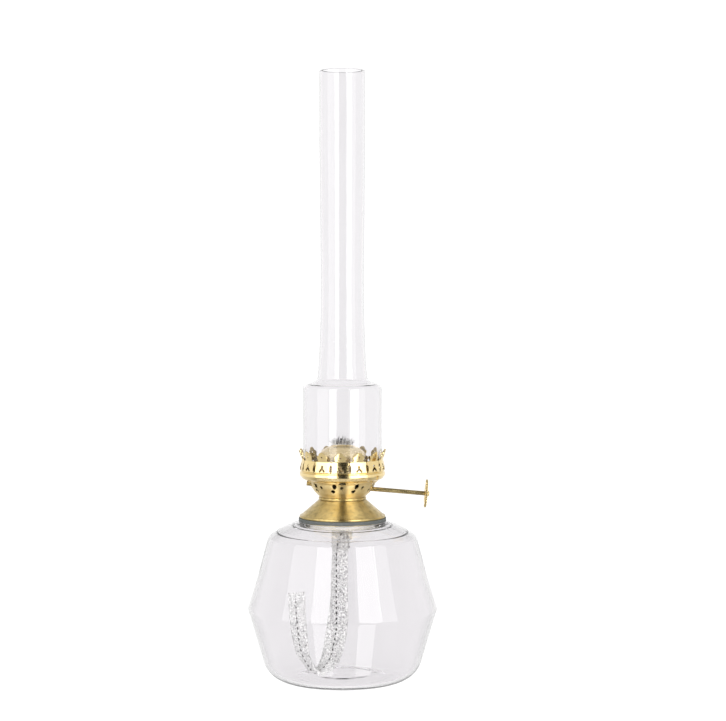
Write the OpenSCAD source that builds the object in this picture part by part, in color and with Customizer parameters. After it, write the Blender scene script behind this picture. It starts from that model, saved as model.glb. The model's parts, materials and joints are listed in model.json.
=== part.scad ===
// Oil lamp: a clear glass font with a ridge round its belly, a brass flat-wick burner that
// screws into the font's neck, and a clear glass chimney held by the burner's petalled gallery.
// Millimetres, +Z up. The origin is on the table, under the middle of the lamp. The winder's
// knob points along +X, and the front of the lamp faces -Y.

/* [Font] */
// Radius where the font's lower wall would meet the table
base_r = 41.1; // [40:0.1:43]
// Radius of the rounded edge between the wall and the base
base_round = 14.5; // [12:0.5:15]
// Largest radius of the font, at its ridge
ridge_r = 53; // [51:0.5:55]
// Height of the ridge above the table
ridge_z = 40; // [37:0.1:42]
// Radius of the shoulder's edge
shoulder_r = 41.3; // [40:0.1:43]
// Height of the shoulder's edge
shoulder_z = 80; // [78:0.5:81]
// Height of the neck's rim
rim_z = 88.3; // [88:0.1:89]
// Thickness of the glass wall
glass_t = 2.6; // [2:0.1:3]

/* [Screw neck] */
// Middle radius of the burner's thread
thread_r = 17.5; // [17:0.1:17.8]
// Depth of the thread, from crest to root
thread_depth = 1; // [0.8:0.1:1.1]
// Height gained in one turn of the thread
thread_pitch = 2.5; // [2:0.5:3]
// Play between the two threads
thread_play = 0.25; // [0.22:0.01:0.3]

/* [Burner] */
// Radius of the rolled edge at the foot of the burner's cone
cone_foot_r = 23.9; // [23.5:0.1:24.3]
// Height of the top of the cone
cone_top_z = 100.7; // [100:0.1:101.2]
// Radius of the top of the cone
cone_top_r = 13.2; // [13:0.1:13.5]
// Width of the flat wick
wick_w = 12; // [11.5:0.1:12.2]
// Thickness of the wick
wick_t = 2; // [1.8:0.1:2.1]
// Height of the wick's lit end
wick_top_z = 134.5; // [133:0.5:136]
// Height of the top of the dome's slot
dome_top_z = 130.8; // [130.6:0.1:131.2]
// Number of petals round the gallery
petals = 14; // [12:1:16]
// Number of groups of air holes round the basket
hole_groups = 9; // [7:1:9]

/* [Winder] */
// Downward tilt of the winder's spindle towards its knob, in degrees
spindle_tilt = 4.9; // [4:0.1:5]
// Diameter of the spindle
spindle_d = 2.4; // [2.3:0.1:2.4]
// Diameter of the knob
knob_d = 15.7; // [14:0.1:18]
// Scallops round the edge of the knob
knob_scallops = 24; // [16:1:30]

/* [Chimney] */
// Outside radius of the chimney's wide base
chimney_base_r = 22; // [21.8:0.1:22]
// Outside radius of the chimney's tube at the top
chimney_top_r = 12.8; // [12.4:0.1:13.2]
// Height of the step between the base and the tube
chimney_step_z = 165.2; // [163:0.1:168]
// Height of the chimney's top
chimney_top_z = 338; // [330:1:345]

/* [Hidden] */
$fn = 72;

brass = [0.86, 0.74, 0.46];
clear_glass = [0.90, 0.92, 0.92, 0.35];
cotton = [0.90, 0.90, 0.88];

// Font: a shallow hollow under the base leaves a flat ring to stand on
floor_t = 4;
hollow_r = 24;
hollow_h = 1.5;
waist = [47.2, 58];          // a point of the upper wall, which is slightly hollow
crown = [33.8, 85.2];        // a point of the shoulder, which is slightly domed
rim_r = 25.2;
neck_bore_r = 20;
neck_lip_h = 3.6;
wall_slope = (ridge_r - base_r) / ridge_z;

// Screw neck, from the rim up: the collar stands up inside the burner's cone
flange_t = 0.9;
washer_z = rim_z + flange_t;
cone_foot_z = washer_z + 1.3;
collar_skirt_r = 19.4;
collar_tube_r = 19;
collar_z = [rim_z - 2, rim_z + 5.2];
cement_h = 3.2;
thread_bore_r = 15.9;
thread_flange_z = collar_z[1] + 0.4;
thread_flange_t = 0.6;
thread_columns = 30;
thread_rows_per_turn = 8;

// Burner levels, from the cone up. The wick's tube passes through the plate and the screen
bead_top_z = cone_top_z + 1.4;
screen_z = 112;
seat_z = 113;
plate_z = cone_top_z - 0.7;
plate_r = 12.4;
tube_play = 0.3;
tube_wall = 0.4;
tube_z = [89.5, 126.5];
tube_size = [wick_w, wick_t] + 2 * (tube_play + tube_wall) * [1, 1];
vent_pos = [0, 6.5];
vent_d = 3;
vent_wall = 0.4;
vent_h = 9;
vent_below_plate = 5;
seat_r = 19.3;
cone_bead_h = 1.5;
cone_inner_foot = [cone_foot_r - 2, cone_foot_z + cone_bead_h - 0.3];
cone_inner_top = [plate_r + 1, plate_z - 0.1];

// Outline of the basket, as heights and radii
basket_wall = [[bead_top_z, 12.6], [104.8, 15.3], [108.2, 17.6], [110, 18.5], [111.1, 19.8]];
petal_turn = -2.9;
hole_turn = -54.3;

// Winder: the spindle runs across the front of the wick tube
spindle_y = -3.6;
spindle_z = 108.1;
spindle_ends = [-19.9, 47.1];
knob_t = 1.3;
wheel_x = 3.5;
wheel_w = 2.4;
wheel_r = 2.5;
wheel_teeth = 12;
winder_x = 6.6;
winder_front_y = -7.4;
winder_zs = [104.4, 111.6];

// Wick: its tail hangs in the font and turns up again on the floor.
// Each row is a point of the route, then the turn of the wick's width about the vertical.
wick_bottom_z = 80;
tail_route = [[-2.4, 0, 74, -42], [-2.8, -0.5, 60, -42], [-3, -2, 44, -36], [-3.3, -4, 29, -12],
              [-6, -9, 15, -25], [-10, -14, 8.7, -48], [-14.5, -17, 7.2, -60],
              [-19.3, -16.5, 13, -60], [-22.5, -14.5, 20.4, -50], [-24.6, -11, 34.8, -42],
              [-25.4, -8, 50, -40]];

// ---- shared shapes -----------------------------------------------------------------------

function unit(v) = v / norm(v);

// The rounded corner at b between a and c, as points of an arc of radius r
function corner(a, b, c, r, steps) =
    let (u = unit(a - b), v = unit(c - b), half = acos(u * v) / 2)
    r == 0 || half > 89.9 ? [b] :
    let (mid = b + unit(u + v) * r / sin(half),
         from = b + u * r / tan(half) - mid,
         to = b + v * r / tan(half) - mid,
         start = atan2(from.y, from.x),
         sweep = (atan2(to.y, to.x) - start + 540) % 360 - 180)
    [for (i = [0:steps]) mid + r * [cos(start + sweep * i / steps), sin(start + sweep * i / steps)]];

// An outline of [radius, height, rounding] rows with each corner rounded
function rounded(rows, steps = 5) =
    let (n = len(rows), flat = [for (p = rows) [p[0], p[1]]])
    [for (i = [0:n - 1]) each corner(flat[(i + n - 1) % n], flat[i], flat[(i + 1) % n],
                                     len(rows[i]) > 2 ? rows[i][2] : 0, steps)];

module turned(rows, steps = 5) {
    rotate_extrude() polygon(rounded(rows, steps));
}

// A slot outline with round ends, w long and t wide
module stadium(w, t) {
    square([w - t, t], center = true);
    for (side = [-1, 1]) translate([side * (w - t) / 2, 0]) circle(d = t);
}

module at_azimuth(angle, r, z) {
    rotate([0, 0, angle - 90]) translate([r, 0, z]) children();
}

module along_spindle(s = 0) {
    translate([0, spindle_y, spindle_z]) rotate([0, 90 + spindle_tilt, 0]) translate([0, 0, s]) children();
}

// A solid with a rolled round thread on its outside, from z0 to z1
module threaded_core(mid_r, z0, z1) {
    rows = ceil((z1 - z0) / thread_pitch * thread_rows_per_turn);
    n = thread_columns;
    points = [for (k = [0:rows]) for (i = [0:n - 1])
              let (z = z0 + (z1 - z0) * k / rows, a = 360 * i / n,
                   r = mid_r + thread_depth / 2 * cos(a - 360 * z / thread_pitch))
              [r * cos(a), r * sin(a), z]];
    sides = [for (k = [0:rows - 1]) for (i = [0:n - 1])
             let (a = k * n + i, b = k * n + (i + 1) % n)
             each [[a, a + n, b + n], [a, b + n, b]]];
    bottom = [for (i = [0:n - 1]) i];
    top = [for (i = [0:n - 1]) rows * n + n - 1 - i];
    polyhedron(points, concat([bottom, top], sides));
}

// ---- font --------------------------------------------------------------------------------

module reservoir() {
    color(clear_glass) turned([
        [0, hollow_h], [hollow_r - 4, hollow_h, 4], [hollow_r, 0, 2],
        [base_r, 0, base_round], [ridge_r, ridge_z, 4], concat(waist, 60),
        [shoulder_r, shoulder_z, 3], concat(crown, 40), [rim_r, rim_z, 0.8],
        [neck_bore_r, rim_z], [neck_bore_r, rim_z - neck_lip_h, 1.2],
        [crown.x - 1, crown.y - 3.4, 20], [shoulder_r - glass_t - 0.3, shoulder_z - 1.6, 3],
        [waist.x - glass_t, waist.y - 0.8, 60], [ridge_r - glass_t, ridge_z, 4],
        [base_r - glass_t + (floor_t - 0.75) * wall_slope, floor_t, base_round - 2],
        [hollow_r + 1, floor_t, 4], [hollow_r - 5, floor_t + hollow_h, 4], [0, floor_t + hollow_h]]);
}

module collar_cement() {
    color([0.85, 0.84, 0.80]) translate([0, 0, rim_z - cement_h]) difference() {
        cylinder(r = neck_bore_r, h = cement_h);
        translate([0, 0, -1]) cylinder(r = collar_skirt_r, h = cement_h + 2);
    }
}

module font_collar() {
    color(brass) difference() {
        union() {
            translate([0, 0, collar_z[0]]) cylinder(r = collar_skirt_r, h = rim_z - collar_z[0]);
            translate([0, 0, rim_z]) cylinder(r = rim_r - 2.2, h = flange_t);
            translate([0, 0, rim_z]) cylinder(r = collar_tube_r, h = collar_z[1] - rim_z);
        }
        threaded_core(thread_r + thread_play, collar_z[0] - 0.5, collar_z[1] + 0.5);
    }
}

// ---- burner ------------------------------------------------------------------------------

module neck_washer() {
    color([0.44, 0.45, 0.43]) turned([
        [collar_tube_r + 0.3, washer_z], [rim_r - 1.9, washer_z], [rim_r - 1.9, washer_z - 0.7],
        [rim_r - 0.9, washer_z - 0.7, 0.3], [rim_r - 0.9, cone_foot_z, 0.3],
        [collar_tube_r + 0.3, cone_foot_z]]);
}

module thread_ring() {
    flange_top_z = thread_flange_z + thread_flange_t;
    cone_inner_r = lookup(flange_top_z, [for (p = [cone_inner_foot, cone_inner_top]) [p.y, p.x]]);
    color(brass) difference() {
        union() {
            threaded_core(thread_r, rim_z + 0.2, thread_flange_z);
            translate([0, 0, thread_flange_z]) cylinder(r = cone_inner_r - 0.3, h = thread_flange_t);
        }
        translate([0, 0, rim_z - 1]) cylinder(r = thread_bore_r, h = flange_top_z - rim_z + 2);
    }
}

module burner_cone() {
    bead_z = cone_foot_z + cone_bead_h;
    color(brass) turned([
        [cone_foot_r - 2, cone_foot_z], [cone_foot_r, cone_foot_z, 0.7],
        [cone_foot_r, bead_z, 0.7], [cone_foot_r - 1, bead_z],
        [cone_top_r, cone_top_z], [plate_r, cone_top_z], [plate_r, cone_inner_top.y],
        cone_inner_top, cone_inner_foot]);
}

module burner_plate() {
    color(brass) translate([0, 0, plate_z]) linear_extrude(0.6) difference() {
        circle(r = plate_r);
        stadium(tube_size.x, tube_size.y);
        translate(vent_pos) circle(d = vent_d);
    }
}

module neck_bead() {
    color(brass) turned([
        [11.4, cone_top_z], [cone_top_r + 0.1, cone_top_z, 0.65],
        [cone_top_r + 0.1, bead_top_z, 0.65], [11.4, bead_top_z]]);
}

module wick_tube() {
    window = [wheel_w + 0.8, 1.8, 6];
    color(brass) difference() {
        translate([0, 0, tube_z[0]]) linear_extrude(tube_z[1] - tube_z[0]) difference() {
            stadium(tube_size.x, tube_size.y);
            stadium(wick_w + 2 * tube_play, wick_t + 2 * tube_play);
        }
        for (side = [-1, 1]) translate([side * wheel_x - window.x / 2, -3, spindle_z - window.z / 2])
            cube(window);
    }
}

module vent_tube() {
    color(brass) translate([vent_pos.x, vent_pos.y, plate_z - vent_below_plate]) difference() {
        cylinder(d = vent_d, h = vent_h);
        translate([0, 0, -1]) cylinder(d = vent_d - 2 * vent_wall, h = vent_h + 2);
    }
}

module air_basket() {
    function wall_r(z) = lookup(z, basket_wall);
    module hole(azimuth, z, d) {
        at_azimuth(azimuth, wall_r(z), z) rotate([0, 135, 0]) cylinder(d = d, h = 4, center = true);
    }
    outside = [for (p = basket_wall) [p[1], p[0]]];
    inside = [for (i = [len(basket_wall) - 2:-1:0]) [basket_wall[i][1] - 0.6, basket_wall[i][0] + 0.3]];
    color(brass) difference() {
        turned(concat([[11.4, bead_top_z]], outside,
                      [[20.2, 111.1], [20.2, 111.6], [18.9, 111.6]], inside,
                      [[11.4, bead_top_z + 0.5]]));
        for (i = [0:hole_groups - 1]) {
            azimuth = hole_turn + 360 / hole_groups * i;
            side_azimuth = azimuth + 13;
            near_spindle = abs(abs((side_azimuth + 540) % 360 - 180) - 78) < 6;
            hole(azimuth, 109, 2.3);
            hole(azimuth - 3, 106.2, 2.1);
            if (!near_spindle) hole(side_azimuth, 108.2, 1.7);
        }
        // Slot that the spindle leaves through
        translate([13, spindle_y - 1.6, 104.3]) cube([8, 3.2, 5.2]);
        along_spindle(-25) cylinder(d = spindle_d + 0.8, h = 12);
    }
}

module winder_box() {
    wall = 0.5;
    depth = -winder_front_y - tube_size.y / 2;
    height = winder_zs[1] - winder_zs[0];
    color(brass) difference() {
        translate([-winder_x, winder_front_y, winder_zs[0]]) cube([2 * winder_x, depth, height]);
        translate([wall - winder_x, winder_front_y + wall, winder_zs[0] + wall])
            cube([2 * (winder_x - wall), depth, height - 2 * wall]);
        along_spindle(-10) cylinder(d = spindle_d + 0.1, h = 20);
    }
}

module air_screen() {
    color(brass) translate([0, 0, screen_z]) linear_extrude(0.5) difference() {
        circle(r = seat_r);
        stadium(tube_size.x, tube_size.y);
        // Rings of holes, as a radius and a number of holes
        for (ring = [[8.5, 14], [11, 20], [13.5, 26]]) for (i = [0:ring[1] - 1])
            rotate(360 / ring[1] * (i + 0.5)) translate([ring[0], 0]) circle(d = 1.3);
    }
}

module gallery() {
    // Opening between two petals: a slim arch below a slit that widens to the tips
    module gap() {
        linear_extrude(8, center = true)
            polygon([[-0.9, 117.4], [0.9, 117.4], [0.9, 120.6], [0.3, 121.8], [0.4, 123.5],
                     [2.4, 129], [-2.4, 129], [-0.4, 123.5], [-0.3, 121.8], [-0.9, 120.6]]);
    }
    // Keyhole pierced through the middle of each petal
    module keyhole() {
        linear_extrude(8, center = true) {
            translate([0, 120.4]) circle(r = 0.8);
            polygon([[-2, 117.5], [2, 117.5], [0.6, 119.8], [-0.6, 119.8]]);
        }
    }
    color(brass) difference() {
        turned([
            [16.8, 111.6], [20.4, 111.6, 0.5], [22.4, 112.5, 0.8], [23.8, 114.4, 0.8],
            [23.8, 116, 0.6], [23.1, 116.4, 0.2], [23.7, 117.2, 0.5], [23.6, 118.6, 2],
            [22.65, 123, 2], [24.6, 128.4], [24.1, 128.5], [22.15, 123.1, 2], [22.9, 118.6, 2],
            [22.6, 116.4], [22.6, 113.6, 0.3], [22.3, seat_z], [19.5, seat_z], [19.5, screen_z],
            [16.8, screen_z]], 3);
        for (i = [0:petals - 1]) {
            at_azimuth(petal_turn + 360 / petals * i, 23.5, 0) rotate([90, 0, 90]) keyhole();
            at_azimuth(petal_turn + 360 / petals * (i + 0.5), 23.5, 0) rotate([90, 0, 90]) gap();
        }
    }
}

module gallery_tabs() {
    color(brass) intersection() {
        for (i = [0:2]) at_azimuth(120 * i, 18, 111.1) rotate([90, 0, 90]) linear_extrude(6) stadium(3.9, 1);
        translate([0, 0, 109]) difference() {
            cylinder(r = 20.8, h = 4);
            translate([0, 0, -1]) cylinder(r = 20.2, h = 6);
        }
    }
}

module dome() {
    slot = [13.5, 3];
    lip = 0.7;
    lip_h = 1.4;
    color(brass) difference() {
        union() {
            turned([
                [16.5, 112.5], [seat_r, 112.5], [seat_r, seat_z], [15.4, 113.9, 2], [12.6, 117.2, 3],
                [12.6, 125.9, 1.2], [11.5, 127.6, 1.2], [7.9, 130.1, 3], [0, 130.5], [0, 130],
                [7.8, 129.6, 3], [11.1, 127.3, 1], [12.1, 125.7, 1], [12.1, 117, 3.4],
                [14.9, 113.4, 2]], 4);
            translate([0, 0, dome_top_z - lip_h]) linear_extrude(lip_h)
                stadium(slot.x + 2 * lip, slot.y + 2 * lip);
        }
        translate([0, 0, dome_top_z - 4]) linear_extrude(6) stadium(slot.x, slot.y);
    }
}

// ---- winder ------------------------------------------------------------------------------

module spindle() {
    color(brass) along_spindle(spindle_ends[0]) cylinder(d = spindle_d, h = spindle_ends[1] - spindle_ends[0]);
}

module ratchet_wheel(x) {
    root_r = wheel_r - 0.7;
    star = [for (i = [0:wheel_teeth - 1]) for (side = [0, 1])
            let (r = side == 0 ? wheel_r : root_r, a = 360 / wheel_teeth * (i + side / 2))
            [r * cos(a), r * sin(a)]];
    color(brass) along_spindle(x) linear_extrude(wheel_w, center = true) difference() {
        polygon(star);
        circle(d = spindle_d);
    }
}
module ratchet_wheel_left() { ratchet_wheel(-wheel_x); }
module ratchet_wheel_right() { ratchet_wheel(wheel_x); }

module knob() {
    color(brass) along_spindle(spindle_ends[1] - knob_t) linear_extrude(knob_t) difference() {
        circle(d = knob_d);
        for (i = [0:knob_scallops - 1]) rotate(360 / knob_scallops * i)
            translate([knob_d / 2 + 0.55, 0]) circle(d = 1.8);
        circle(d = spindle_d);
    }
}

module knob_rivet() {
    color(brass) along_spindle(spindle_ends[1]) turned([[0, 0], [1.6, 0], [1.6, 0.5, 0.2], [1, 1.2, 0.4], [0, 1.2]]);
}

// ---- wick --------------------------------------------------------------------------------

module wick() {
    color(cotton) translate([0, 0, wick_bottom_z]) linear_extrude(wick_top_z - wick_bottom_z)
        stadium(wick_w, wick_t);
}

module wick_tail() {
    n = len(tail_route);
    function at(i) = let (p = tail_route[i]) [p[0], p[1], p[2]];
    function across(i) = let (a = tail_route[i][3]) [cos(a), sin(a), 0];
    function along(i) = unit(at(min(i + 1, n - 1)) - at(max(i - 1, 0)));
    function ring(i) =
        let (face = unit(cross(along(i), across(i))), side = cross(face, along(i)))
        [for (s = [[1, 1], [-1, 1], [-1, -1], [1, -1]])
         at(i) + side * s.x * wick_w / 2 + face * s.y * wick_t / 2];
    points = [for (i = [0:n - 1]) each ring(i)];
    sides = [for (i = [0:n - 2]) for (k = [0:3])
             let (a = 4 * i + k, b = 4 * i + (k + 1) % 4) each [[a, a + 4, b + 4], [a, b + 4, b]]];
    color(cotton) polyhedron(points, concat(sides, [[0, 1, 2, 3], [for (k = [3:-1:0]) 4 * (n - 1) + k]]));
}

// ---- chimney -----------------------------------------------------------------------------

module chimney() {
    base_wall = 1.3;
    tube_wall_t = 1.2;
    // Outside of the tube, which draws in above the step and widens again to the top
    tube = [[chimney_top_r + 0.4, 176], [chimney_top_r - 0.05, 186], [chimney_top_r - 0.7, 205],
            [chimney_top_r - 0.8, 222], [chimney_top_r - 0.4, 260], [chimney_top_r, 300]];
    n = len(tube);
    color(clear_glass) turned(concat(
        [[chimney_base_r, seat_z, 0.5], [chimney_base_r, chimney_step_z, 2.2],
         [chimney_top_r + 1, chimney_step_z, 3]],
        tube,
        [[chimney_top_r, chimney_top_z, 0.5], [chimney_top_r - tube_wall_t, chimney_top_z, 0.5]],
        [for (i = [n - 1:-1:0]) tube[i] - [tube_wall_t, 0]],
        [[chimney_top_r + 1 - tube_wall_t, chimney_step_z - base_wall, 3.6],
         [chimney_base_r - base_wall, chimney_step_z - base_wall, 1.2],
         [chimney_base_r - base_wall, seat_z, 0.5]]));
}

reservoir();
collar_cement();
font_collar();
neck_washer();
thread_ring();
burner_cone();
burner_plate();
neck_bead();
wick_tube();
vent_tube();
air_basket();
winder_box();
air_screen();
gallery();
gallery_tabs();
dome();
spindle();
ratchet_wheel_left();
ratchet_wheel_right();
knob();
knob_rivet();
wick();
wick_tail();
chimney();
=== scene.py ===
"""The looks of the oil lamp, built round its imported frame.

Metres, +Z up. The lamp stands on the origin, its knob points along +X and its front faces -Y.
Outlines are written in millimetres and become metres when a mesh is made. An azimuth is in
degrees from the front of the lamp, positive towards the knob.
"""
import json
import math
import random

import bmesh
import bpy
from mathutils import Matrix, Vector, noise


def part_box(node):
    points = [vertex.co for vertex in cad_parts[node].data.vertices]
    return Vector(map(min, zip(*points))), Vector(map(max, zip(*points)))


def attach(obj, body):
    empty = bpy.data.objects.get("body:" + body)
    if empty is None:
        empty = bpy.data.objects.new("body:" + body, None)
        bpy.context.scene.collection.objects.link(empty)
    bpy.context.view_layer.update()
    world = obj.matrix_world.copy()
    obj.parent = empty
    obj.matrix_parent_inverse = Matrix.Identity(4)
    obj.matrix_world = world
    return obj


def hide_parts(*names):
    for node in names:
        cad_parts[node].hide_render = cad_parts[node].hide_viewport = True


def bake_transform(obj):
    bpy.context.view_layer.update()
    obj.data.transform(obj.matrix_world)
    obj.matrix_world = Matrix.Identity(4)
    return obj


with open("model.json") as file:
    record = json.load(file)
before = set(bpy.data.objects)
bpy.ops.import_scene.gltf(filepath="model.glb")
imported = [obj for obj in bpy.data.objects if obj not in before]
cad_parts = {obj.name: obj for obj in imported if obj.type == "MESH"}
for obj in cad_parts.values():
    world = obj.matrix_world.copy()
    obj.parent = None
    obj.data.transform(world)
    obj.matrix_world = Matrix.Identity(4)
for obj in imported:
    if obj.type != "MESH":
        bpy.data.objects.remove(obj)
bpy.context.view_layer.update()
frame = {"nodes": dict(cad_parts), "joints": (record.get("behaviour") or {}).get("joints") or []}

MM = 0.001
LAMP_MIDDLE = Vector((0, 0, 0.14))
SOFTBOX_DISTANCE = 1.6
scene = bpy.context.scene


def extent(node):
    """Outer radius, lowest and highest point of a CAD node that is round about the lamp's axis."""
    low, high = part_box(node)
    return high.x / MM, low.z / MM, high.z / MM


def towards(azimuth, elevation):
    """The direction that is at an azimuth and an elevation in degrees from the lamp."""
    a, e = math.radians(azimuth), math.radians(elevation)
    return Vector((math.sin(a) * math.cos(e), -math.cos(a) * math.cos(e), math.sin(e)))


# ---- camera, light and floor ---------------------------------------------------------------

def add_camera():
    """A long lens a little above the lamp's middle, turned slightly so that the lamp is off centre."""
    data = bpy.data.cameras.new("camera")
    data.lens = 96.0
    data.sensor_width = 36
    camera = bpy.data.objects.new("camera", data)
    camera.location = (0, -1.073, 0.222)
    pitch_down, turn_right = 2.36, 0.61
    camera.rotation_euler = (math.radians(90 - pitch_down), 0, -math.radians(turn_right))
    scene.collection.objects.link(camera)
    scene.camera = camera


def add_softbox(name, azimuth, elevation, size, radiance):
    """A rectangular light aimed at the middle of the lamp. Radiance is what its face shows."""
    data = bpy.data.lights.new(name, "AREA")
    data.shape = "RECTANGLE"
    data.size, data.size_y = size
    data.energy = radiance * math.pi * size[0] * size[1]
    light = bpy.data.objects.new(name, data)
    away = towards(azimuth, elevation)
    light.location = LAMP_MIDDLE + SOFTBOX_DISTANCE * away
    light.rotation_euler = away.to_track_quat("Z", "Y").to_euler()
    light.visible_camera = False
    light.visible_transmission = False
    scene.collection.objects.link(light)


def add_sky(strength, spread):
    """Even light from overhead for the floor and the matt parts, which reflections don't see."""
    data = bpy.data.lights.new("sky", "SUN")
    data.energy = strength
    data.angle = math.radians(spread)
    light = bpy.data.objects.new("sky", data)
    light.visible_glossy = False
    light.visible_camera = False
    light.visible_transmission = False
    scene.collection.objects.link(light)


def add_flag(name, azimuth, distance, rows):
    """A black card, bent over the lamp from low in front, that only reflections see.

    It gives the polished parts their dark stripe. Each row is an elevation and the card's width there.
    """
    a = math.radians(azimuth)
    verts = []
    for elevation, width in rows:
        across = Vector((math.cos(a), math.sin(a), 0)) * width / 2
        middle = towards(azimuth, elevation) * distance
        verts += [middle - across, middle + across]
    faces = [(2 * i, 2 * i + 1, 2 * i + 3, 2 * i + 2) for i in range(len(rows) - 1)]
    mesh = bpy.data.meshes.new(name)
    mesh.from_pydata(verts, [], faces)
    mesh.materials.append(flat_material("flag_black", (0.004, 0.004, 0.004)))
    card = bpy.data.objects.new(name, mesh)
    scene.collection.objects.link(card)
    for ray in ("visible_camera", "visible_diffuse", "visible_shadow", "visible_transmission"):
        setattr(card, ray, False)


def flat_material(name, colour, glow=0):
    """A matt colour. Glow is white light of its own, which evens out what the lights throw on it."""
    material, _, shader = start_material(name)
    shader.inputs["Base Color"].default_value = (*colour, 1)
    shader.inputs["Roughness"].default_value = 1
    shader.inputs["Specular IOR Level"].default_value = 0
    shader.inputs["Emission Color"].default_value = (1, 1, 1, 1)
    shader.inputs["Emission Strength"].default_value = glow
    return material


def set_world():
    """A white studio: white round the horizon and right overhead, greyer between and below.

    Each row is the height of a direction, from -1 straight down to 1 straight up, and its grey.
    """
    rows = [(-0.86, 0.35), (-0.6, 0.8), (-0.14, 1.14), (0.16, 1.14), (0.4, 0.85), (0.85, 0.78),
            (0.93, 0.95)]
    world = bpy.data.worlds.new("studio")
    scene.world = world
    world.use_nodes = True
    tree = world.node_tree
    split = add_node(tree, "SeparateXYZ", {0: add_node(tree, "TexCoord").outputs["Generated"]})
    share = add_node(tree, "MapRange", {"Value": split.outputs["Z"], "From Min": -1})
    ramp = add_node(tree, "ValToRGB", {0: share.outputs["Result"]})
    stops = ramp.color_ramp.elements
    stops.remove(stops[1])
    for i, (height, grey) in enumerate(rows):
        stop = stops.new((height + 1) / 2) if i else stops[0]
        stop.position = (height + 1) / 2
        stop.color = (grey, grey, grey, 1)
    tree.links.new(ramp.outputs[0], tree.nodes["Background"].inputs["Color"])


def add_floor():
    """A floor that glows white, as the photograph's background is. Reflections don't see it."""
    just_under_the_foot = -0.0002
    mesh = bpy.data.meshes.new("floor")
    shape = bmesh.new()
    bmesh.ops.create_circle(shape, cap_ends=True, segments=96, radius=6)
    shape.to_mesh(mesh)
    shape.free()
    mesh.materials.append(flat_material("floor_white", (0.06, 0.06, 0.06), glow=1.06))
    floor = bpy.data.objects.new("floor", mesh)
    floor.location.z = just_under_the_foot
    floor.visible_glossy = False
    floor.visible_shadow = False
    scene.collection.objects.link(floor)


# ---- outlines and meshes -------------------------------------------------------------------

def corner(a, b, c, r, steps):
    """The rounded corner at b between a and c, as points of an arc of radius r."""
    a, b, c = Vector(a), Vector(b), Vector(c)
    u, v = (a - b).normalized(), (c - b).normalized()
    half = math.acos(max(-1, min(1, u.dot(v)))) / 2
    nearly_straight = half > math.radians(89.9)
    if r == 0 or nearly_straight:
        return [tuple(b)]
    middle = b + (u + v).normalized() * r / math.sin(half)
    start = b + u * r / math.tan(half) - middle
    end = b + v * r / math.tan(half) - middle
    turn = start.angle_signed(end)
    points = []
    for i in range(steps + 1):
        along = start.copy()
        along.rotate(Matrix.Rotation(-turn * i / steps, 2))
        points.append(tuple(middle + along))
    return points


def rounded(rows, steps=8, longest=1.5, closed=True):
    """Points along an outline of (radius, height, rounding) rows, none further apart than longest."""
    flat = [row[:2] for row in rows]
    n = len(rows)
    points = []
    for i, row in enumerate(rows):
        end = not closed and i in (0, n - 1)
        r = row[2] if len(row) > 2 and not end else 0
        points += corner(flat[i - 1], flat[i], flat[(i + 1) % n], r, steps)
    if closed:
        points.append(points[0])
    fine = [points[0]]
    for a, b in zip(points, points[1:]):
        parts = max(1, math.ceil(math.dist(a, b) / longest))
        fine += [(a[0] + (b[0] - a[0]) * i / parts, a[1] + (b[1] - a[1]) * i / parts)
                 for i in range(1, parts + 1)]
    return fine[:-1] if closed else fine


def on_circle(azimuth, r, z):
    """A point at an azimuth in radians."""
    return Vector((r * math.sin(azimuth), -r * math.cos(azimuth), z))


def turned(outline, columns=192, closed=True):
    """Vertices and faces of an outline turned about the lamp's axis."""
    verts, faces, rings = [], [], []
    for r, z in outline:
        if r < 1e-6:
            rings.append([len(verts)] * columns)
            verts.append(Vector((0, 0, z)))
            continue
        rings.append(list(range(len(verts), len(verts) + columns)))
        verts += [on_circle(math.tau * k / columns, r, z) for k in range(columns)]
    following = rings[1:] + rings[:1] if closed else rings[1:]
    for low, high in zip(rings, following):
        for k in range(columns):
            after = (k + 1) % columns
            face = list(dict.fromkeys([low[k], low[after], high[after], high[k]]))
            if len(face) > 2:
                faces.append(face)
    return verts, faces


def pierced(outline, columns, metal, place=None):
    """Vertices and faces of a turned sheet with openings. The outline runs along its outer face.
    metal(azimuth, r, z) is above 0 on metal and below 0 in an opening, and the sheet is cut where
    it is 0. place(azimuth, r, z) moves a point of the sheet to its final radius and height."""
    verts, faces, cuts, kept = [], [], {}, {}
    angles = [math.tau * k / columns for k in range(columns)]
    value = [[metal(a, r, z) for a in angles] for r, z in outline]

    def add(a, r, z):
        verts.append(on_circle(a, *(place(a, r, z) if place else (r, z))))
        return len(verts) - 1

    def whole(i, k):
        if (i, k) not in kept:
            kept[i, k] = add(angles[k], *outline[i])
        return kept[i, k]

    def cut(p, q):
        key = (p, q) if p < q else (q, p)
        if key not in cuts:
            (i, k), (j, m) = key
            t = value[i][k] / (value[i][k] - value[j][m])
            step = (angles[m] - angles[k] + math.pi) % math.tau - math.pi
            r = outline[i][0] + (outline[j][0] - outline[i][0]) * t
            z = outline[i][1] + (outline[j][1] - outline[i][1]) * t
            cuts[key] = add(angles[k] + step * t, r, z)
        return cuts[key]

    for i in range(len(outline) - 1):
        for k in range(columns):
            after = (k + 1) % columns
            ring = [(i, k), (i, after), (i + 1, after), (i + 1, k)]
            signs = [value[p][q] > 0 for p, q in ring]
            if not any(signs):
                continue
            face = []
            for c in range(4):
                here, there = c, (c + 1) % 4
                if signs[here]:
                    face.append(whole(*ring[here]))
                if signs[here] != signs[there]:
                    face.append(cut(ring[here], ring[there]))
            faces.append(face)
    return verts, faces


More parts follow.
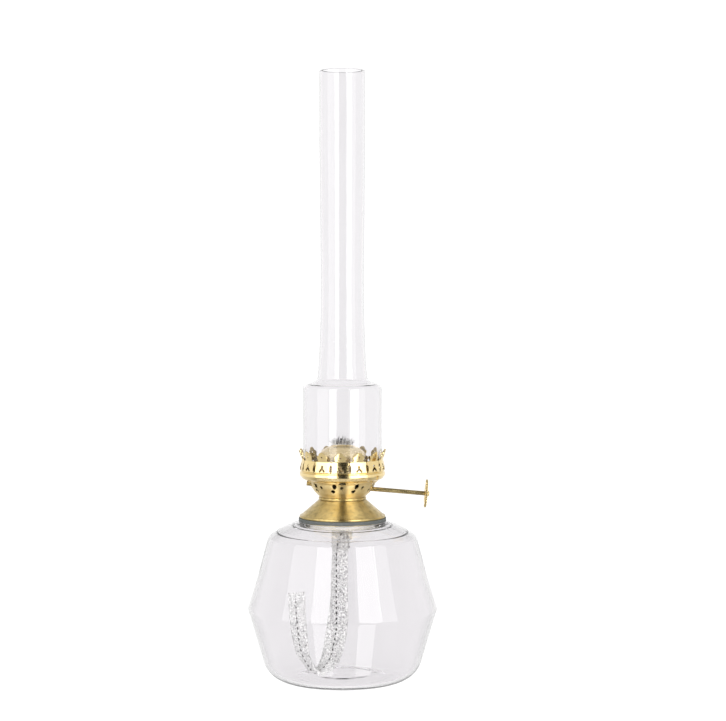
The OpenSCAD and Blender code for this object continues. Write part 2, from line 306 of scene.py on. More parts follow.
def add_piece(name, shape, material, body=None, nodes=(), sharp=35):
    """An object made of vertices and faces in millimetres, which stands for some CAD nodes."""
    verts, faces = shape
    mesh = bpy.data.meshes.new(name)
    mesh.from_pydata([Vector(v) * MM for v in verts], [], faces)
    mesh.materials.append(material)
    tidy = bmesh.new()
    tidy.from_mesh(mesh)
    bmesh.ops.remove_doubles(tidy, verts=tidy.verts, dist=2e-6)
    bmesh.ops.dissolve_degenerate(tidy, edges=tidy.edges, dist=1e-6)
    tidy.to_mesh(mesh)
    tidy.free()
    piece = bpy.data.objects.new(name, mesh)
    scene.collection.objects.link(piece)
    finish_surface(piece, sharp)
    if nodes:
        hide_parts(*nodes)
    if body:
        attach(piece, body)
    return piece


def finish_surface(piece, sharp):
    """Smooth shading that breaks at edges sharper than an angle in degrees."""
    piece.data.shade_smooth()
    piece.data.set_sharp_from_angle(angle=math.radians(sharp))


def outward(piece):
    """Turns the faces of a closed piece outwards."""
    shape = bmesh.new()
    shape.from_mesh(piece.data)
    bmesh.ops.recalc_face_normals(shape, faces=shape.faces)
    shape.to_mesh(piece.data)
    shape.free()


def line_inside(piece, inside, middle_z):
    """Gives the faces that look into a vessel a material of their own. Its cavity is about middle_z."""
    piece.data.materials.append(inside)
    middle = Vector((0, 0, middle_z * MM))
    for face in piece.data.polygons:
        if face.normal.dot(face.center - middle) < 0:
            face.material_index = 1


def thicken(piece, thickness, inside, sharp=35):
    """Gives a sheet its metal thickness, inwards from its outer face, with its own inside material."""
    piece.data.materials.append(inside)
    modifier = piece.modifiers.new("metal", "SOLIDIFY")
    modifier.material_offset = 1
    modifier.thickness = thickness * MM
    modifier.offset = -1
    modifier.use_even_offset = True
    bpy.context.view_layer.update()
    solid = bpy.data.meshes.new_from_object(piece.evaluated_get(bpy.context.evaluated_depsgraph_get()))
    piece.modifiers.clear()
    piece.data = solid
    finish_surface(piece, sharp)


# ---- materials -----------------------------------------------------------------------------

def start_material(name):
    """A new material, its node tree and its shader."""
    material = bpy.data.materials.new(name)
    material.use_nodes = True
    tree = material.node_tree
    return material, tree, tree.nodes["Principled BSDF"]


def add_node(tree, kind, inputs=None, **settings):
    """A shader node with some settings. Each input is a value or another node's output."""
    made = tree.nodes.new("ShaderNode" + kind)
    for key, value in settings.items():
        setattr(made, key, value)
    for key, value in (inputs or {}).items():
        if isinstance(value, bpy.types.NodeSocket):
            tree.links.new(value, made.inputs[key])
        else:
            made.inputs[key].default_value = value
    return made


def place_texture(tree, stretch=(1, 1, 1)):
    """The point on the object, in metres, stretched along each axis."""
    where = add_node(tree, "TexCoord")
    return add_node(tree, "Mapping", {"Vector": where.outputs["Object"], "Scale": stretch}).outputs[0]


def noise_value(tree, where, scale, detail, roughness=0.5):
    """Cloudy noise from 0 to 1, scale clouds to the metre."""
    return add_node(tree, "TexNoise", {"Vector": where, "Scale": scale, "Detail": detail,
                                       "Roughness": roughness}).outputs["Fac"]


def between(tree, value, low, high, to_low, to_high):
    """Maps a value from one range onto another, kept inside it."""
    return add_node(tree, "MapRange", {"Value": value, "From Min": low, "From Max": high,
                                       "To Min": to_low, "To Max": to_high}).outputs[0]


def dimmed(colour, share=1):
    """A colour times a share, with full alpha."""
    return (*[c * share for c in colour], 1)


def mixed(tree, share, first, second):
    """One colour fading into another."""
    return add_node(tree, "Mix", {0: share, 6: first, 7: second}, data_type="RGBA").outputs[2]


def bumped(tree, height, distance, strength, normal=None):
    """The surface raised by a height from 0 to 1 times a distance in metres."""
    inputs = {"Height": height, "Distance": distance, "Strength": strength}
    if normal is not None:
        inputs["Normal"] = normal
    return add_node(tree, "Bump", inputs).outputs[0]


def brass_material(name, colour, stain, roughness, spun=True, blotches=0.35, streak=0):
    """Brass sheet: a warm colour with faint stains, fine turning marks and small dents.

    Blotches is how strong and how common the small stains are. Streak draws reflections out up and
    down, as marks that run round the lamp's axis do.
    """
    material, tree, shader = start_material(name)
    where = place_texture(tree)
    cloud = noise_value(tree, where, scale=90, detail=4)
    spots = noise_value(tree, where, scale=420, detail=3)
    spots_from = 0.725 - 0.3 * blotches
    shade = mixed(tree, between(tree, cloud, 0.45, 0.75, 0, 0.5), dimmed(colour), dimmed(stain))
    shade = mixed(tree, between(tree, spots, spots_from, 0.8, 0, blotches), shade, dimmed(stain))
    tree.links.new(shade, shader.inputs["Base Color"])
    smear = noise_value(tree, place_texture(tree, (1, 1, 6)), scale=160, detail=4)
    tree.links.new(between(tree, smear, 0.3, 0.75, roughness * 0.75, roughness * 1.5),
                   shader.inputs["Roughness"])
    shader.inputs["Metallic"].default_value = 1
    if streak:
        shader.inputs["Anisotropic"].default_value = streak
        shader.inputs["Anisotropic Rotation"].default_value = 0.25
        round_axis = add_node(tree, "Tangent", direction_type="RADIAL", axis="Z")
        tree.links.new(round_axis.outputs[0], shader.inputs["Tangent"])
    hollows = noise_value(tree, where, scale=140, detail=2)
    surface = bumped(tree, hollows, distance=0.0006, strength=0.14)
    if spun:
        marks = noise_value(tree, place_texture(tree, (1, 1, 30)), scale=260, detail=3)
        surface = bumped(tree, marks, distance=0.00006, strength=0.07, normal=surface)
    grain = noise_value(tree, where, scale=2600, detail=2)
    surface = bumped(tree, grain, distance=0.00004, strength=0.14, normal=surface)
    tree.links.new(surface, shader.inputs["Normal"])
    return material


def glass_material(name, tint, edge, wave, coat):
    """Clear blown glass, very slightly grey.

    Edge is the share of the tint that is left where the wall is seen edge on, and wave is the
    strength of the waves in its surface. Coat is the layer that reflects as glass does, and only
    the outer faces have it, since the body under it refracts little.
    """
    material, tree, shader = start_material(name)
    where = place_texture(tree, (1, 1, 0.5))
    cords = noise_value(tree, where, scale=60, detail=2)
    colour = mixed(tree, between(tree, cords, 0.3, 0.7, 0, 1), dimmed(tint), dimmed(tint, 0.985))
    slant = add_node(tree, "LayerWeight", {"Blend": 0.25})
    colour = mixed(tree, between(tree, slant.outputs["Facing"], 0.32, 0.52, 0, 1), colour,
                   dimmed(tint, edge))
    tree.links.new(colour, shader.inputs["Base Color"])
    shader.inputs["Transmission Weight"].default_value = 1
    shader.inputs["IOR"].default_value = 1.12
    shader.inputs["Specular IOR Level"].default_value = 1
    shader.inputs["Coat Weight"].default_value = coat
    shader.inputs["Coat IOR"].default_value = 1.5
    shader.inputs["Coat Roughness"].default_value = 0.02
    smears = noise_value(tree, where, scale=35, detail=5)
    tree.links.new(between(tree, smears, 0.55, 0.8, 0.0, 0.03), shader.inputs["Roughness"])
    waves = noise_value(tree, where, scale=28, detail=1)
    ripples = noise_value(tree, where, scale=110, detail=1)
    surface = bumped(tree, waves, distance=0.004, strength=wave)
    surface = bumped(tree, ripples, distance=0.0008, strength=wave, normal=surface)
    tree.links.new(surface, shader.inputs["Normal"])
    return material


def washer_material():
    """Dark grey rubber with a faint speckle."""
    material, tree, shader = start_material("washer_rubber_grey")
    where = place_texture(tree)
    speckle = noise_value(tree, where, scale=1500, detail=3)
    tree.links.new(mixed(tree, between(tree, speckle, 0.4, 0.7, 0, 1), (0.05, 0.056, 0.053, 1),
                         (0.09, 0.097, 0.093, 1)), shader.inputs["Base Color"])
    tree.links.new(between(tree, speckle, 0.3, 0.7, 0.55, 0.8), shader.inputs["Roughness"])
    tree.links.new(bumped(tree, speckle, distance=0.0001, strength=0.5), shader.inputs["Normal"])
    return material


def cement_material():
    """Off-white plaster with pores."""
    material, tree, shader = start_material("cement_plaster")
    where = place_texture(tree)
    grains = noise_value(tree, where, scale=900, detail=5)
    tree.links.new(mixed(tree, between(tree, grains, 0.35, 0.7, 0, 1), (0.74, 0.73, 0.68, 1),
                         (0.88, 0.87, 0.83, 1)), shader.inputs["Base Color"])
    tree.links.new(between(tree, grains, 0.3, 0.7, 0.8, 0.95), shader.inputs["Roughness"])
    tree.links.new(bumped(tree, grains, distance=0.0003, strength=0.7), shader.inputs["Normal"])
    return material


def cotton_material(name, light, dark):
    """Cotton yarn: pale, with grey flecks of painted shade that stand for the hollows of the weave."""
    material, tree, shader = start_material(name)
    where = place_texture(tree)
    # The grey flecks are painted shade of the weave's hollows.
    flecks = noise_value(tree, where, scale=1100, detail=4, roughness=0.7)
    fibres = noise_value(tree, where, scale=5200, detail=2)
    shade = mixed(tree, between(tree, flecks, 0.36, 0.62, 0, 1), (*dark, 1), (*light, 1))
    shade = mixed(tree, between(tree, fibres, 0.5, 0.8, 0, 0.35), shade, (*dark, 1))
    tree.links.new(shade, shader.inputs["Base Color"])
    tree.links.new(between(tree, fibres, 0.3, 0.7, 0.8, 0.98), shader.inputs["Roughness"])
    shader.inputs["Sheen Weight"].default_value = 0.3
    shader.inputs["Sheen Roughness"].default_value = 0.5
    tree.links.new(bumped(tree, fibres, distance=0.00008, strength=0.7), shader.inputs["Normal"])
    return material


brass = brass_material("brass_polished", (0.80, 0.63, 0.31), (0.56, 0.42, 0.19), roughness=0.15)
brass_satin = brass_material("brass_satin", (0.60, 0.46, 0.195), (0.33, 0.25, 0.11), roughness=0.40,
                             blotches=0.9, streak=0.9)
brass_soft = brass_material("brass_soft", (0.71, 0.565, 0.285), (0.50, 0.38, 0.18), roughness=0.38,
                            blotches=0.6, streak=0.85)
# A lighter copy of the polished brass for the dome: painted light, standing in for the highlights that
# brighten it.
brass_painted_light = brass_material("brass_painted_light", (0.92, 0.76, 0.45), (0.70, 0.55, 0.28), roughness=0.27,
                            blotches=0.5, streak=0.7)
brass_worn = brass_material("brass_worn", (0.46, 0.36, 0.17), (0.22, 0.165, 0.075), roughness=0.3,
                            blotches=0.8)
# Near-black brass for the faces inside the basket and dome and for the parts hidden in the burner:
# painted shade, since little light gets in there.
brass_shaded_inside = brass_material("brass_painted_shade", (0.16, 0.115, 0.06), (0.07, 0.05, 0.03),
                              roughness=0.45, spun=False)
brass_dull = brass_material("brass_dull_plain", (0.62, 0.47, 0.22), (0.40, 0.29, 0.14),
                            roughness=0.34, spun=False)
FONT_TINT, CHIMNEY_TINT = (0.86, 0.848, 0.86), (0.885, 0.876, 0.886)
font_glass = glass_material("glass_font", FONT_TINT, edge=0.54, wave=0.08, coat=0.7)
font_glass_inside = glass_material("glass_font_inside", FONT_TINT, edge=1, wave=0.08, coat=0)
chimney_glass = glass_material("glass_chimney", CHIMNEY_TINT, edge=0.56, wave=0.01, coat=0.7)
chimney_glass_inside = glass_material("glass_chimney_inside", CHIMNEY_TINT, edge=1, wave=0.01, coat=0)
washer_grey = washer_material()
plaster = cement_material()
cotton = cotton_material("cotton_tape", (0.88, 0.88, 0.87), (0.22, 0.22, 0.22))
thread = cotton_material("cotton_thread", (0.10, 0.095, 0.09), (0.02, 0.02, 0.02))
fluff = cotton_material("cotton_fluff", (0.88, 0.88, 0.87), (0.4, 0.4, 0.4))
soot = cotton_material("cotton_soot", (0.07, 0.07, 0.072), (0.02, 0.02, 0.02))


# ---- glass ---------------------------------------------------------------------------------

def make_font():
    """The outside runs from the middle of the foot up to the rim, and the inside back down."""
    ridge_r, _, rim_z = extent("reservoir")
    ridge_z = 40
    outline = rounded([
        (0, 1.5), (17, 1.5, 14), (25, 0, 5), (ridge_r - 11.9, 0, 14.5), (ridge_r, ridge_z, 4),
        (47.2, 58, 60), (41.3, rim_z - 8.3, 3), (33.8, rim_z - 3.1, 40), (25.2, rim_z, 0.8),
        (20, rim_z, 0.3), (20, rim_z - 2.9, 0.8), (25.8, rim_z - 3.1), (26.4, rim_z - 3.7, 0.2),
        (27, rim_z - 3.5), (34.2, rim_z - 6.5), (34.8, rim_z - 7.2, 0.2), (35.4, rim_z - 7.1),
        (39.6, rim_z - 9.9, 2.5),
        (45.1, 57.4, 60), (50.9, ridge_z, 4), (39.3, 2.2, 12.4), (29, 2.2, 14), (16, 3.4, 30),
        (0, 3.4)], steps=10, longest=1.5, closed=False)
    piece = add_piece("font_glass", turned(outline, 256, closed=False), font_glass,
                      "font", ["reservoir"], sharp=80)
    outward(piece)
    line_inside(piece, font_glass_inside, middle_z=36)
    piece.visible_shadow = False


def make_chimney():
    """A wide base, a step and a slim tube. Its outside runs up and its inside back down."""
    base_r, seat_z, top_z = extent("chimney")
    wall, tube_wall, step_wall = 1.3, 1.2, 0.75
    foot_r, top_r = 14.0, 12.8
    step_low, step_high, tube_z = 164.4, 166.4, 170
    tube = [(13.2, 176, 60), (12.75, 186, 60), (12.1, 205, 120), (12.0, 222, 200),
            (12.4, 260, 300), (top_r, 300, 300)]
    inner = [(r - tube_wall, z, bend) for r, z, bend in reversed(tube)]
    outline = rounded([
        (base_r, seat_z, 0.5), (base_r, step_low, 3.2), (foot_r, step_high, 3.5), *tube,
        (top_r, top_z, 1.0), (top_r - tube_wall, top_z, 0.15), *inner,
        (foot_r - tube_wall, step_high - step_wall, 4.6), (base_r - wall, step_low - step_wall, 2.1),
        (base_r - wall, seat_z, 0.5)], steps=10, longest=2.0)
    piece = add_piece("chimney_glass_tube", turned(outline, 320), chimney_glass,
                      "chimney", ["chimney"], sharp=80)
    outward(piece)
    line_inside(piece, chimney_glass_inside, middle_z=150)
    # A coat on top of the step would show the ring as a row of dark dashes
    faces_up = 0.4
    for face in piece.data.polygons:
        if face.normal.z > faces_up and face.center.z < tube_z * MM:
            face.material_index = 1
    piece.visible_shadow = False


# ---- brass ---------------------------------------------------------------------------------

def make_cone():
    """A spun cone with a rolled edge at its foot."""
    foot_r, foot_z, top_z = extent("burner_cone")
    outline = rounded([
        (foot_r - 1.6, foot_z, 0.3), (foot_r, foot_z, 0.75), (foot_r, foot_z + 1.5, 0.75),
        (foot_r - 1, foot_z + 1.6, 0.3), (13.4, top_z - 0.4, 0.8), (12.6, top_z, 0.3),
        (12.4, top_z - 0.6, 0.1), (12.9, top_z - 0.7, 0.1), (foot_r - 1.6, foot_z + 1.3, 0.3)],
        longest=0.8)
    piece = add_piece("cone_shell", turned(outline, 256), brass_satin, "burner",
                      ["burner_cone"])
    outward(piece)


def make_neck_bead():
    """The ring between the cone and the basket."""
    r, low, high = extent("neck_bead")
    inner_r = 11.4
    outline = rounded([(inner_r, low), (r, low, 0.65), (r, high, 0.65), (inner_r, high)], longest=0.6)
    outward(add_piece("neck_bead_ring", turned(outline, 192), brass_satin, "burner",
                      ["neck_bead"]))


def make_washer():
    """A flat ring whose lip hangs over the edge of the neck."""
    r, low, high = extent("neck_washer")
    inner_r, lip_w, lip_h = 19.3, 1, 0.7
    outline = rounded([
        (inner_r, low + lip_h), (r - lip_w, low + lip_h), (r - lip_w, low, 0.2), (r, low, 0.4),
        (r, high, 0.3), (inner_r, high)], steps=6, longest=0.8)
    outward(add_piece("washer_ring", turned(outline, 192), washer_grey, "washer",
                      ["neck_washer"]))


def disc(x, y, r):
    """Distance from a disc round the origin, below 0 inside."""
    return math.hypot(x, y) - r


def slot(x, y, half_width, low, high):
    """Distance from an upright slot with round ends, below 0 inside."""
    nearest = max(low + half_width, min(high - half_width, y))
    return math.hypot(x, y - nearest) - half_width


def slab(x, y, right, top, r):
    """Distance from a plate that ends on the right and at its top in a rounded corner."""
    dx, dy = x - (right - r), y - (top - r)
    return math.hypot(max(dx, 0), max(dy, 0)) + min(max(dx, dy), 0) - r


def capsule(x, y, a, b, r):
    """Distance from a stroke with round ends from a to b, below 0 inside."""
    ax, ay, bx, by = x - a[0], y - a[1], b[0] - a[0], b[1] - a[1]
    t = max(0.0, min(1.0, (ax * bx + ay * by) / (bx * bx + by * by)))
    return math.hypot(ax - bx * t, ay - by * t) - r


def round_gap(angle, count, first):
    """Angle from the nearest of count places round the axis, and that place's number."""
    pitch = math.tau / count
    number = round((angle - first) / pitch)
    return angle - first - number * pitch, number % count


# How many petals, the first one's azimuth, the radius they are drawn at and their crease's height
PETALS = 14
PETAL_TURN = math.radians(-2.9)
PETAL_R = 23.5
CREASE_Z = 122.9


def petal_metal(u, z):
    """Above 0 on the petal round u = 0, which has three lobes at its tip, a keyhole and a tip hole.

    Below 0 in its holes and in the arch and slit between it and its neighbours.
    """
    side = math.pi * PETAL_R / PETALS - abs(u)
    lobes = min(disc(abs(u) - 2.0, z - 125.3, 1.25), disc(u, z - 126.4, 1.85))
    stem = max(z - 126, abs(u) - 2.95)
    shoulder = slab(abs(u), z, 5.05, CREASE_Z + 0.3, 0.9)
    arch = slot(side, z, 0.9, 117.3, 121.6)
    slit = slot(side, z, 0.2, 121.0, 126)
    leg = capsule(abs(u), z, (0.25, 119.3), (1.3, 118.0), 0.62)
    keyhole = min(disc(u, z - 120.5, 0.74), slot(u, z, 0.42, 118.9, 120.6), leg)
    tip_hole = disc(u, z - 125.5, 0.6)
    return min(-min(lobes, stem, shoulder), arch, slit, keyhole, tip_hole)


def make_gallery():
    """A crown of petals. Each leans and twists a little, and curls in towards its edges."""
    low = extent("gallery")[1]
    draw = random.Random(14)
    lean = [draw.uniform(-0.16, 0.16) for _ in range(PETALS)]
    twist = [draw.uniform(-0.12, 0.12) for _ in range(PETALS)]
    lower = rounded([
        (16.8, low), (20.4, low, 0.5), (22.4, low + 0.9, 0.8), (23.8, low + 2.8, 0.8),
        (23.8, low + 4.4, 0.6), (23.1, low + 4.8, 0.25), (23.7, low + 5.6, 0.5),
        (23.65, low + 6.4)], steps=5, longest=0.3, closed=False)
    upper = rounded([
        (23.65, low + 6.4), (23.6, 118.6, 2), (22.65, CREASE_Z, 1.2), (24.7, 128.6)],
        steps=6, longest=0.2, closed=False)
    whole_below = low + 5.2
    tip_height, edge_turn, curl = 5.5, 0.2, 0.35

    def metal(angle, r, z):
        if z < whole_below:
            return 1
        turn, _ = round_gap(angle, PETALS, PETAL_TURN)
        return petal_metal(turn * PETAL_R, z)

    def place(angle, r, z):
        rise = max(0.0, z - CREASE_Z) / tip_height
        turn, number = round_gap(angle, PETALS, PETAL_TURN)
        tilt = lean[number] + twist[number] * turn / edge_turn
        return r + rise * tilt - curl * rise * (turn / edge_turn) ** 2, z

    piece = add_piece("gallery_crown", pierced(lower + upper[1:], PETALS * 54, metal, place),
                      brass, "burner", ["gallery"])
    thicken(piece, thickness=0.5, inside=brass_satin)


def leaf(x, y, width, height, lean):
    """Distance from a leaf-shaped hole, wider at its top and leaning, below 0 inside."""
    c, s = math.cos(math.radians(lean)), math.sin(math.radians(lean))
    x, y = x * c + y * s, y * c - x * s
    half = width / 2 * (1 + 0.35 * max(-1.0, min(1.0, y / height)))
    return (math.hypot(x / half, y / (height / 2)) - 1) * min(half, height / 2)


def make_basket():
    """A cup with groups of leaf-shaped holes, and two more where the spindle passes."""
    low = extent("air_basket")[1]
    groups, first = 9, math.radians(-54.3)
    spindle_y, spindle_r = -3.6, 1.6
    slot_low, slot_high, left_z = 104.3, 109.5, 109.6
    # Each hole of a group: degrees from its middle, radius, height, width, length and lean
    holes = [(0, 18, 109.1, 2.5, 3.1, -12), (13, 17.5, 108.3, 1.7, 2.0, -25),
             (-4, 16.5, 106.3, 2.5, 2.0, 10)]
    outline = rounded([
        (12.2, low), (12.7, low + 0.1, 0.3), (15.3, 104.8, 6), (17.6, 108.2, 8), (18.5, 110, 1),
        (19.8, 111.1, 0.4), (20.2, 111.3)], steps=6, longest=0.22, closed=False)

    def metal(angle, r, z):
        turn, _ = round_gap(angle, groups, first)
        gaps = [leaf((turn - math.radians(at)) * hole_r, z - hole_z, *form)
                for at, hole_r, hole_z, *form in holes]
        point = on_circle(angle, r, z)
        if point.x > 0:
            gaps.append(max(abs(point.y - spindle_y) - spindle_r, slot_low - z, z - slot_high))
        if point.x < 0:
            gaps.append(math.hypot(point.y - spindle_y, z - left_z) - spindle_r)
        return min(gaps)

    piece = add_piece("basket_shell", pierced(outline, 620, metal), brass_soft,
                      "burner", ["air_basket"])
    # Its inside faces are near-black brass: painted shade.
    thicken(piece, thickness=0.45, inside=brass_shaded_inside)


def make_dome():
    """A bun with a slot for the wick. The slot's lip stands up, except towards its two ends."""
    top = extent("dome")[2]
    crown_z = top - 6
    slot_w, slot_t = 13.5, 3.0
    lip_width, lip_height, lip_end, lip_fade = 1.1, 0.75, 7.4, 2.6
    outline = rounded([
        (18.9, 112.6), (19.3, 112.8, 0.1), (18.9, 113.05, 0.2), (15.4, 113.9, 2), (12.6, 117.2, 3),
        (12.6, 125.9, 3), (11.5, 127.6, 5), (7.9, top - 0.7, 8), (0.4, top - 0.4)],
        longest=0.25, closed=False)

    def beyond_slot(angle, r):
        """Distance from the slot, below 0 inside, and how far to the right the point is."""
        point = on_circle(angle, r, 0)
        reach = (slot_w - slot_t) / 2
        return math.hypot(max(0.0, abs(point.x) - reach), point.y) - slot_t / 2, point.x

    def metal(angle, r, z):
        return beyond_slot(angle, r)[0] if z > crown_z else 1

    def place(angle, r, z):
        if z < crown_z:
            return r, z
        beyond, x = beyond_slot(angle, r)
        lip = max(0.0, 1 - max(0.0, beyond) / lip_width) ** 2
        along = max(0.0, min(1.0, (lip_end - abs(x)) / lip_fade))
        return r, z + lip_height * lip * along * along * (3 - 2 * along)

    # The outside is a lighter copy of the brass, painted light, and the inside near-black brass,
    # painted shade.
    piece = add_piece("dome_shell", pierced(outline, 360, metal, place), brass_painted_light,
                      "burner", ["dome"])
    thicken(piece, thickness=0.45, inside=brass_shaded_inside)


def make_knob():
    """A disc with a scalloped rim, square to the winder's axis."""
    joint = next(j for j in frame["joints"] if j["name"] == "wick_winder")
    origin, axis = Vector(joint["pos_m"]), Vector(joint["axis"])
    low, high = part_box("knob")
    reach = ((low + high) / 2 - origin).dot(axis)
    radius = (high.y - low.y) / 2 / MM
    scallops, scallop_depth = 24, 0.075
    half, rim_r = 0.55, 5.6
    outline = rounded([
        (0, -half), (2.2, -half, 0.2), (2.8, -half + 0.25, 0.3), (4.9, -half + 0.25, 0.4),
        (rim_r, -half - 0.1, 0.4), (radius - 0.5, -half - 0.1, 0.3), (radius, -half + 0.2, 0.2),
        (radius, half - 0.2, 0.2), (radius - 0.5, half + 0.1, 0.3), (rim_r, half + 0.1, 0.4),
        (4.9, half - 0.25, 0.4), (2.8, half - 0.25, 0.3), (2.2, half, 0.2), (0, half)],
        steps=5, longest=0.3, closed=False)
    verts, faces = turned(outline, scallops * 16, closed=False)
    turn_to_axis = axis.to_track_quat("Z", "Y").to_matrix()
    placed = []
    for v in verts:
        r = math.hypot(v.x, v.y)
        if r > rim_r:
            wave = (0.5 - 0.5 * math.cos(scallops * math.atan2(v.y, v.x))) ** 1.5
            shrink = 1 - scallop_depth * wave * (r - rim_r) / (radius - rim_r)
            v = Vector((v.x * shrink, v.y * shrink, v.z))
        placed.append(turn_to_axis @ v + (origin + axis * reach) / MM)
    outward(add_piece("knob_disc", (placed, faces), brass, "winder", ["knob"]))


# ---- wick ----------------------------------------------------------------------------------

TAPE_W, TAPE_T = 12.0, 2.0
RIB_W, COURSE_H = 1.2, 1.25
# The crease down the tape: where it sets in and eases off, over what lengths, and how deep it is
FOLD_START, FOLD_END, FOLD_IN, FOLD_OUT, FOLD_DEPTH = 48, 92, 10, 20, 0.36
# The middle of the tape, downwards: x, y, z and the turn of its width about the vertical
UPPER_ROUTE = [(0, 0, 90, 0), (0, 0, 84, -3)]
TAIL_ROUTE = [
    (-2.4, 0, 74, -42), (-2.8, -0.5, 60, -42), (-3, -2, 44, -36), (-3.3, -4, 29, -12),
    (-6, -9, 15, -25), (-10, -14, 8.7, -48), (-14.5, -17, 7.2, -60), (-19.3, -16.5, 13, -60),
    (-22.5, -14.5, 20.4, -50), (-24.6, -11, 34.8, -42), (-25.4, -8, 50, -40)]


def through(points, t):
    """Catmull-Rom curve through rows of numbers, at t rows from the first."""
    i = min(int(t), len(points) - 2)
    f = t - i
    rows = [points[max(0, min(len(points) - 1, i + k))] for k in (-1, 0, 1, 2)]
    return [0.5 * (2 * b + (c - a) * f + (2 * a - 5 * b + 4 * c - d) * f * f
                   + (3 * b - a - 3 * c + d) * f ** 3) for a, b, c, d in zip(*rows)]


def wick_path(step):
    """Evenly spaced places down the wick: point, direction, width direction and face direction."""
    top = extent("dome")[2] + 0.5
    rows = [(0, 0, top - drop, 0) for drop in (0, 12, 28)] + UPPER_ROUTE + TAIL_ROUTE
    parts = 3000
    samples = [through(rows, (len(rows) - 1) * i / parts) for i in range(parts + 1)]
    places, travelled, due = [], 0.0, 0.0
    for before, here in zip(samples, samples[1:]):
        length = math.dist(before[:3], here[:3])
        while due <= travelled + length:
            share = (due - travelled) / length
            row = [a + (b - a) * share for a, b in zip(before, here)]
            along = (Vector(here[:3]) - Vector(before[:3])).normalized()
            a = math.radians(row[3])
            across = Vector((math.cos(a), math.sin(a), 0))
            face = along.cross(across).normalized()
            places.append((Vector(row[:3]), along, face.cross(along), face))
            due += step
        travelled += length
    return places, travelled


def folded(across, distance):
    """How far the tape leaves its flat middle plane, where it is creased along its middle."""
    share = max(0.0, min(1.0, (distance - FOLD_START) / FOLD_IN))
    eased = max(0.0, min(1.0, (distance - FOLD_END) / FOLD_OUT))
    return -FOLD_DEPTH * share * (1 - eased) * (math.hypot(across, 1) - 1)


def weave(across, along):
    """Height of the tape's knitted surface, from 0 in a hollow to 1 on a yarn."""
    row = math.floor(along / COURSE_H)
    shift = 0.5 if row % 2 else 0.0
    rib = abs(math.sin(math.pi * (across / RIB_W + shift)))
    course = abs(math.sin(math.pi * along / COURSE_H))
    loose = noise.noise(Vector((across * 1.1, along * 1.1, 3.0)))
    return max(0.0, min(1.0, 0.8 * (rib * course) ** 0.6 + 0.2 + 0.4 * loose))


def make_wick():
    """The woven tape, as one closed surface that runs round both faces at each place."""
    step = 0.24
    flat_share, round_share = 0.84, 0.16
    fullness, hollow_depth = 0.94, 0.42
    places, length = wick_path(step)
    columns = round(TAPE_W / step)
    verts, faces = [], []
    for row, (middle, along, side, face) in enumerate(places):
        distance = row * step
        ragged = 1 + 0.02 * noise.noise(Vector((0, 0, distance * 0.35)))
        for front in (1, -1):
            for k in range(columns + 1):
                s = (k / columns * 2 - 1) * front
                edge = math.sqrt(max(0.0, 1 - max(0.0, (abs(s) - flat_share) / round_share) ** 2))
                across = s * TAPE_W / 2 * ragged
                hollow = hollow_depth * edge * (1 - weave(across, distance))
                depth = TAPE_T / 2 * edge * fullness - hollow
                bend = folded(across, distance)
                verts.append(middle + side * across + face * (front * depth + bend))
    ring = 2 * (columns + 1)
    for row in range(len(places) - 1):
        for k in range(ring):
            a, b = row * ring + k, row * ring + (k + 1) % ring
            faces.append((a, b, b + ring, a + ring))
    faces.append(tuple(reversed(range(ring))))
    faces.append(tuple(range((len(places) - 1) * ring, len(places) * ring)))
    tape = add_piece("wick_tape", (verts, faces), cotton, nodes=["wick", "wick_tail"],
                     sharp=70)
    outward(tape)
    return tape, length


def from_bmesh(shape):
    """Vertices and faces of a bmesh, which is freed. The faces are sorted, as their order varies."""
    shape.verts.index_update()
    verts = [v.co.copy() for v in shape.verts]
    faces = []
    for face in shape.faces:
        ring = [v.index for v in face.verts]
        first = ring.index(min(ring))
        faces.append(ring[first:] + ring[:first])
    shape.free()
    return verts, sorted(faces)


def make_stitches():
    """The dark thread sewn down the middle of the tape, on both faces."""
    step, first, pitch, share = 0.5, 3, 2.95, 0.52
    half_w, half_t, sunk = 0.44, 0.3, 0.1
    places, length = wick_path(step)
    shape = bmesh.new()
    for i in range(int((length - first) / pitch)):
        middle, along, side, face = places[round((first + i * pitch) / step)]
        for front in (1, -1):
            made = bmesh.ops.create_uvsphere(shape, u_segments=10, v_segments=7, radius=1)
            axes = Matrix((side, face, along)).transposed()
            for v in made["verts"]:
                v.co = axes @ Vector((v.co.x * half_w, v.co.y * half_t, v.co.z * pitch * share / 2))
                v.co += middle + face * front * (TAPE_T / 2 - sunk)
    return add_piece("wick_stitches", from_bmesh(shape), thread, sharp=60)


def fibre(points, radius):
    """Vertices and faces of a thin tapering thread through some points."""
    verts, faces = [], []
    sides, taper = 5, 0.6
    for i, point in enumerate(points):
        along = (points[min(i + 1, len(points) - 1)] - points[max(i - 1, 0)]).normalized()
        u = along.orthogonal().normalized()
        v = along.cross(u)
        r = radius * (1 - taper * i / (len(points) - 1))
        verts += [point + (u * math.cos(math.tau * k / sides) + v * math.sin(math.tau * k / sides)) * r
                  for k in range(sides)]
    for i in range(len(points) - 1):
        for k in range(sides):
            a, b = i * sides + k, i * sides + (k + 1) % sides
            faces.append((a, b, b + sides, a + sides))
    faces.append(tuple(reversed(range(sides))))
    faces.append(tuple(range((len(points) - 1) * sides, len(points) * sides)))
    return verts, faces


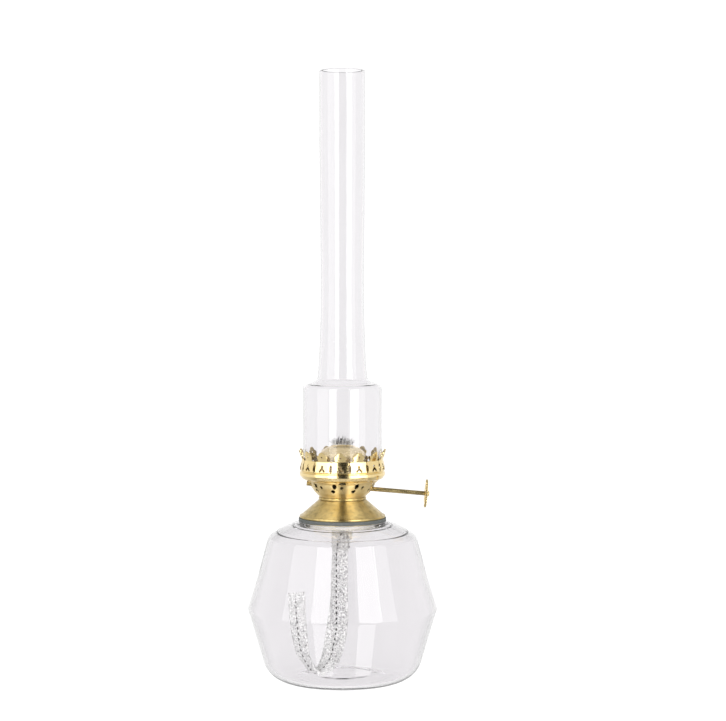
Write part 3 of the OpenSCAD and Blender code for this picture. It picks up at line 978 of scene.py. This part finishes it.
def make_fray(name, material, seed, count):
    """Loose cotton fibres that stand up from the end of the tape, shorter towards its edges."""
    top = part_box("wick")[1].z / MM
    root = extent("dome")[2]
    bends = 5
    draw = random.Random(seed)
    verts, faces = [], []
    for _ in range(count):
        x = draw.uniform(-TAPE_W / 2, TAPE_W / 2) * 0.9
        y = draw.uniform(-1, 1) * TAPE_T / 2
        point = Vector((x, y, root + draw.uniform(0.1, 1.0)))
        heading = Vector((draw.uniform(-0.5, 0.5) + x * 0.05, draw.uniform(-0.5, 0.5), 1)).normalized()
        reach = (top + 2.2 - point.z) * draw.uniform(0.3, 1.05) * (1 - 0.05 * abs(x))
        points = [point]
        for _ in range(bends):
            heading = (heading + Vector([draw.uniform(-0.45, 0.45) for _ in range(3)])).normalized()
            points.append(points[-1] + heading * reach / bends)
        more, sides = fibre(points, draw.uniform(0.08, 0.18))
        faces += [tuple(i + len(verts) for i in face) for face in sides]
        verts += more
    return add_piece(name, (verts, faces), material, "wick")


def make_knot():
    """The end of the dark thread, just above the tape's lit end."""
    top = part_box("wick")[1].z / MM
    shape = bmesh.new()
    bmesh.ops.create_icosphere(shape, subdivisions=3, radius=0.62)
    for v in shape.verts:
        v.co *= 1 + 0.18 * noise.noise(v.co * 2.2)
        v.co += Vector((-0.7, -TAPE_T / 2 - 0.1, top - 0.4))
    return add_piece("wick_knot", from_bmesh(shape), thread, "wick")


# ---- the lamp ------------------------------------------------------------------------------

# burner_plate, wick_tube, vent_tube, winder_box and air_screen sit inside the burner and take
# near-black brass: painted shade.
CAD_MATERIALS = {
    "collar_cement": plaster, "font_collar": brass_dull, "thread_ring": brass_dull,
    "burner_plate": brass_shaded_inside, "wick_tube": brass_shaded_inside, "vent_tube": brass_shaded_inside,
    "winder_box": brass_shaded_inside, "air_screen": brass_shaded_inside, "ratchet_wheel_left": brass_dull,
    "ratchet_wheel_right": brass_dull, "gallery_tabs": brass, "spindle": brass_worn,
    "knob_rivet": brass}

# Name, azimuth, elevation, width and height, radiance
SOFTBOXES = [
    ("strip_left", -27.5, 12, (0.62, 1.45), 5.0), ("strip_right", 35, 12, (0.80, 1.45), 5.0),
    ("side_left", -59, 12, (1.10, 1.45), 1.9), ("side_right", 59, 12, (0.60, 1.45), 1.9),
    ("low_left", -29, -42, (0.50, 0.45), 3.2), ("low_right", 34, -42, (0.50, 0.45), 3.2)]

set_world()
add_camera()
add_floor()
for row in SOFTBOXES:
    add_softbox(*row)
add_sky(strength=0.9, spread=60)
add_flag("flag_front", azimuth=0.5, distance=1.25, rows=[
    (-32, 0.85), (-14, 0.9), (0, 0.68), (30, 0.62), (50, 0.5), (70, 0.42), (90, 0.45), (110, 0.45)])

for name, material in CAD_MATERIALS.items():
    node = frame["nodes"][name]
    node.data.materials.clear()
    node.data.materials.append(material)

make_font()
make_chimney()
make_cone()
make_neck_bead()
make_washer()
make_gallery()
make_basket()
make_dome()
make_knob()
wick_tape, wick_length = make_wick()
stitches = make_stitches()
fray = make_fray("wick_fray", fluff, seed=5, count=150)
char = make_fray("wick_char", soot, seed=8, count=95)
knot = make_knot()
# The tape and its thread run from the wick above down into the font and belong to no body; their places
# are baked into their meshes
for soft in (wick_tape, stitches):
    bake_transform(soft)

scene.view_settings.view_transform = "Standard"
bpy.context.view_layer.update()
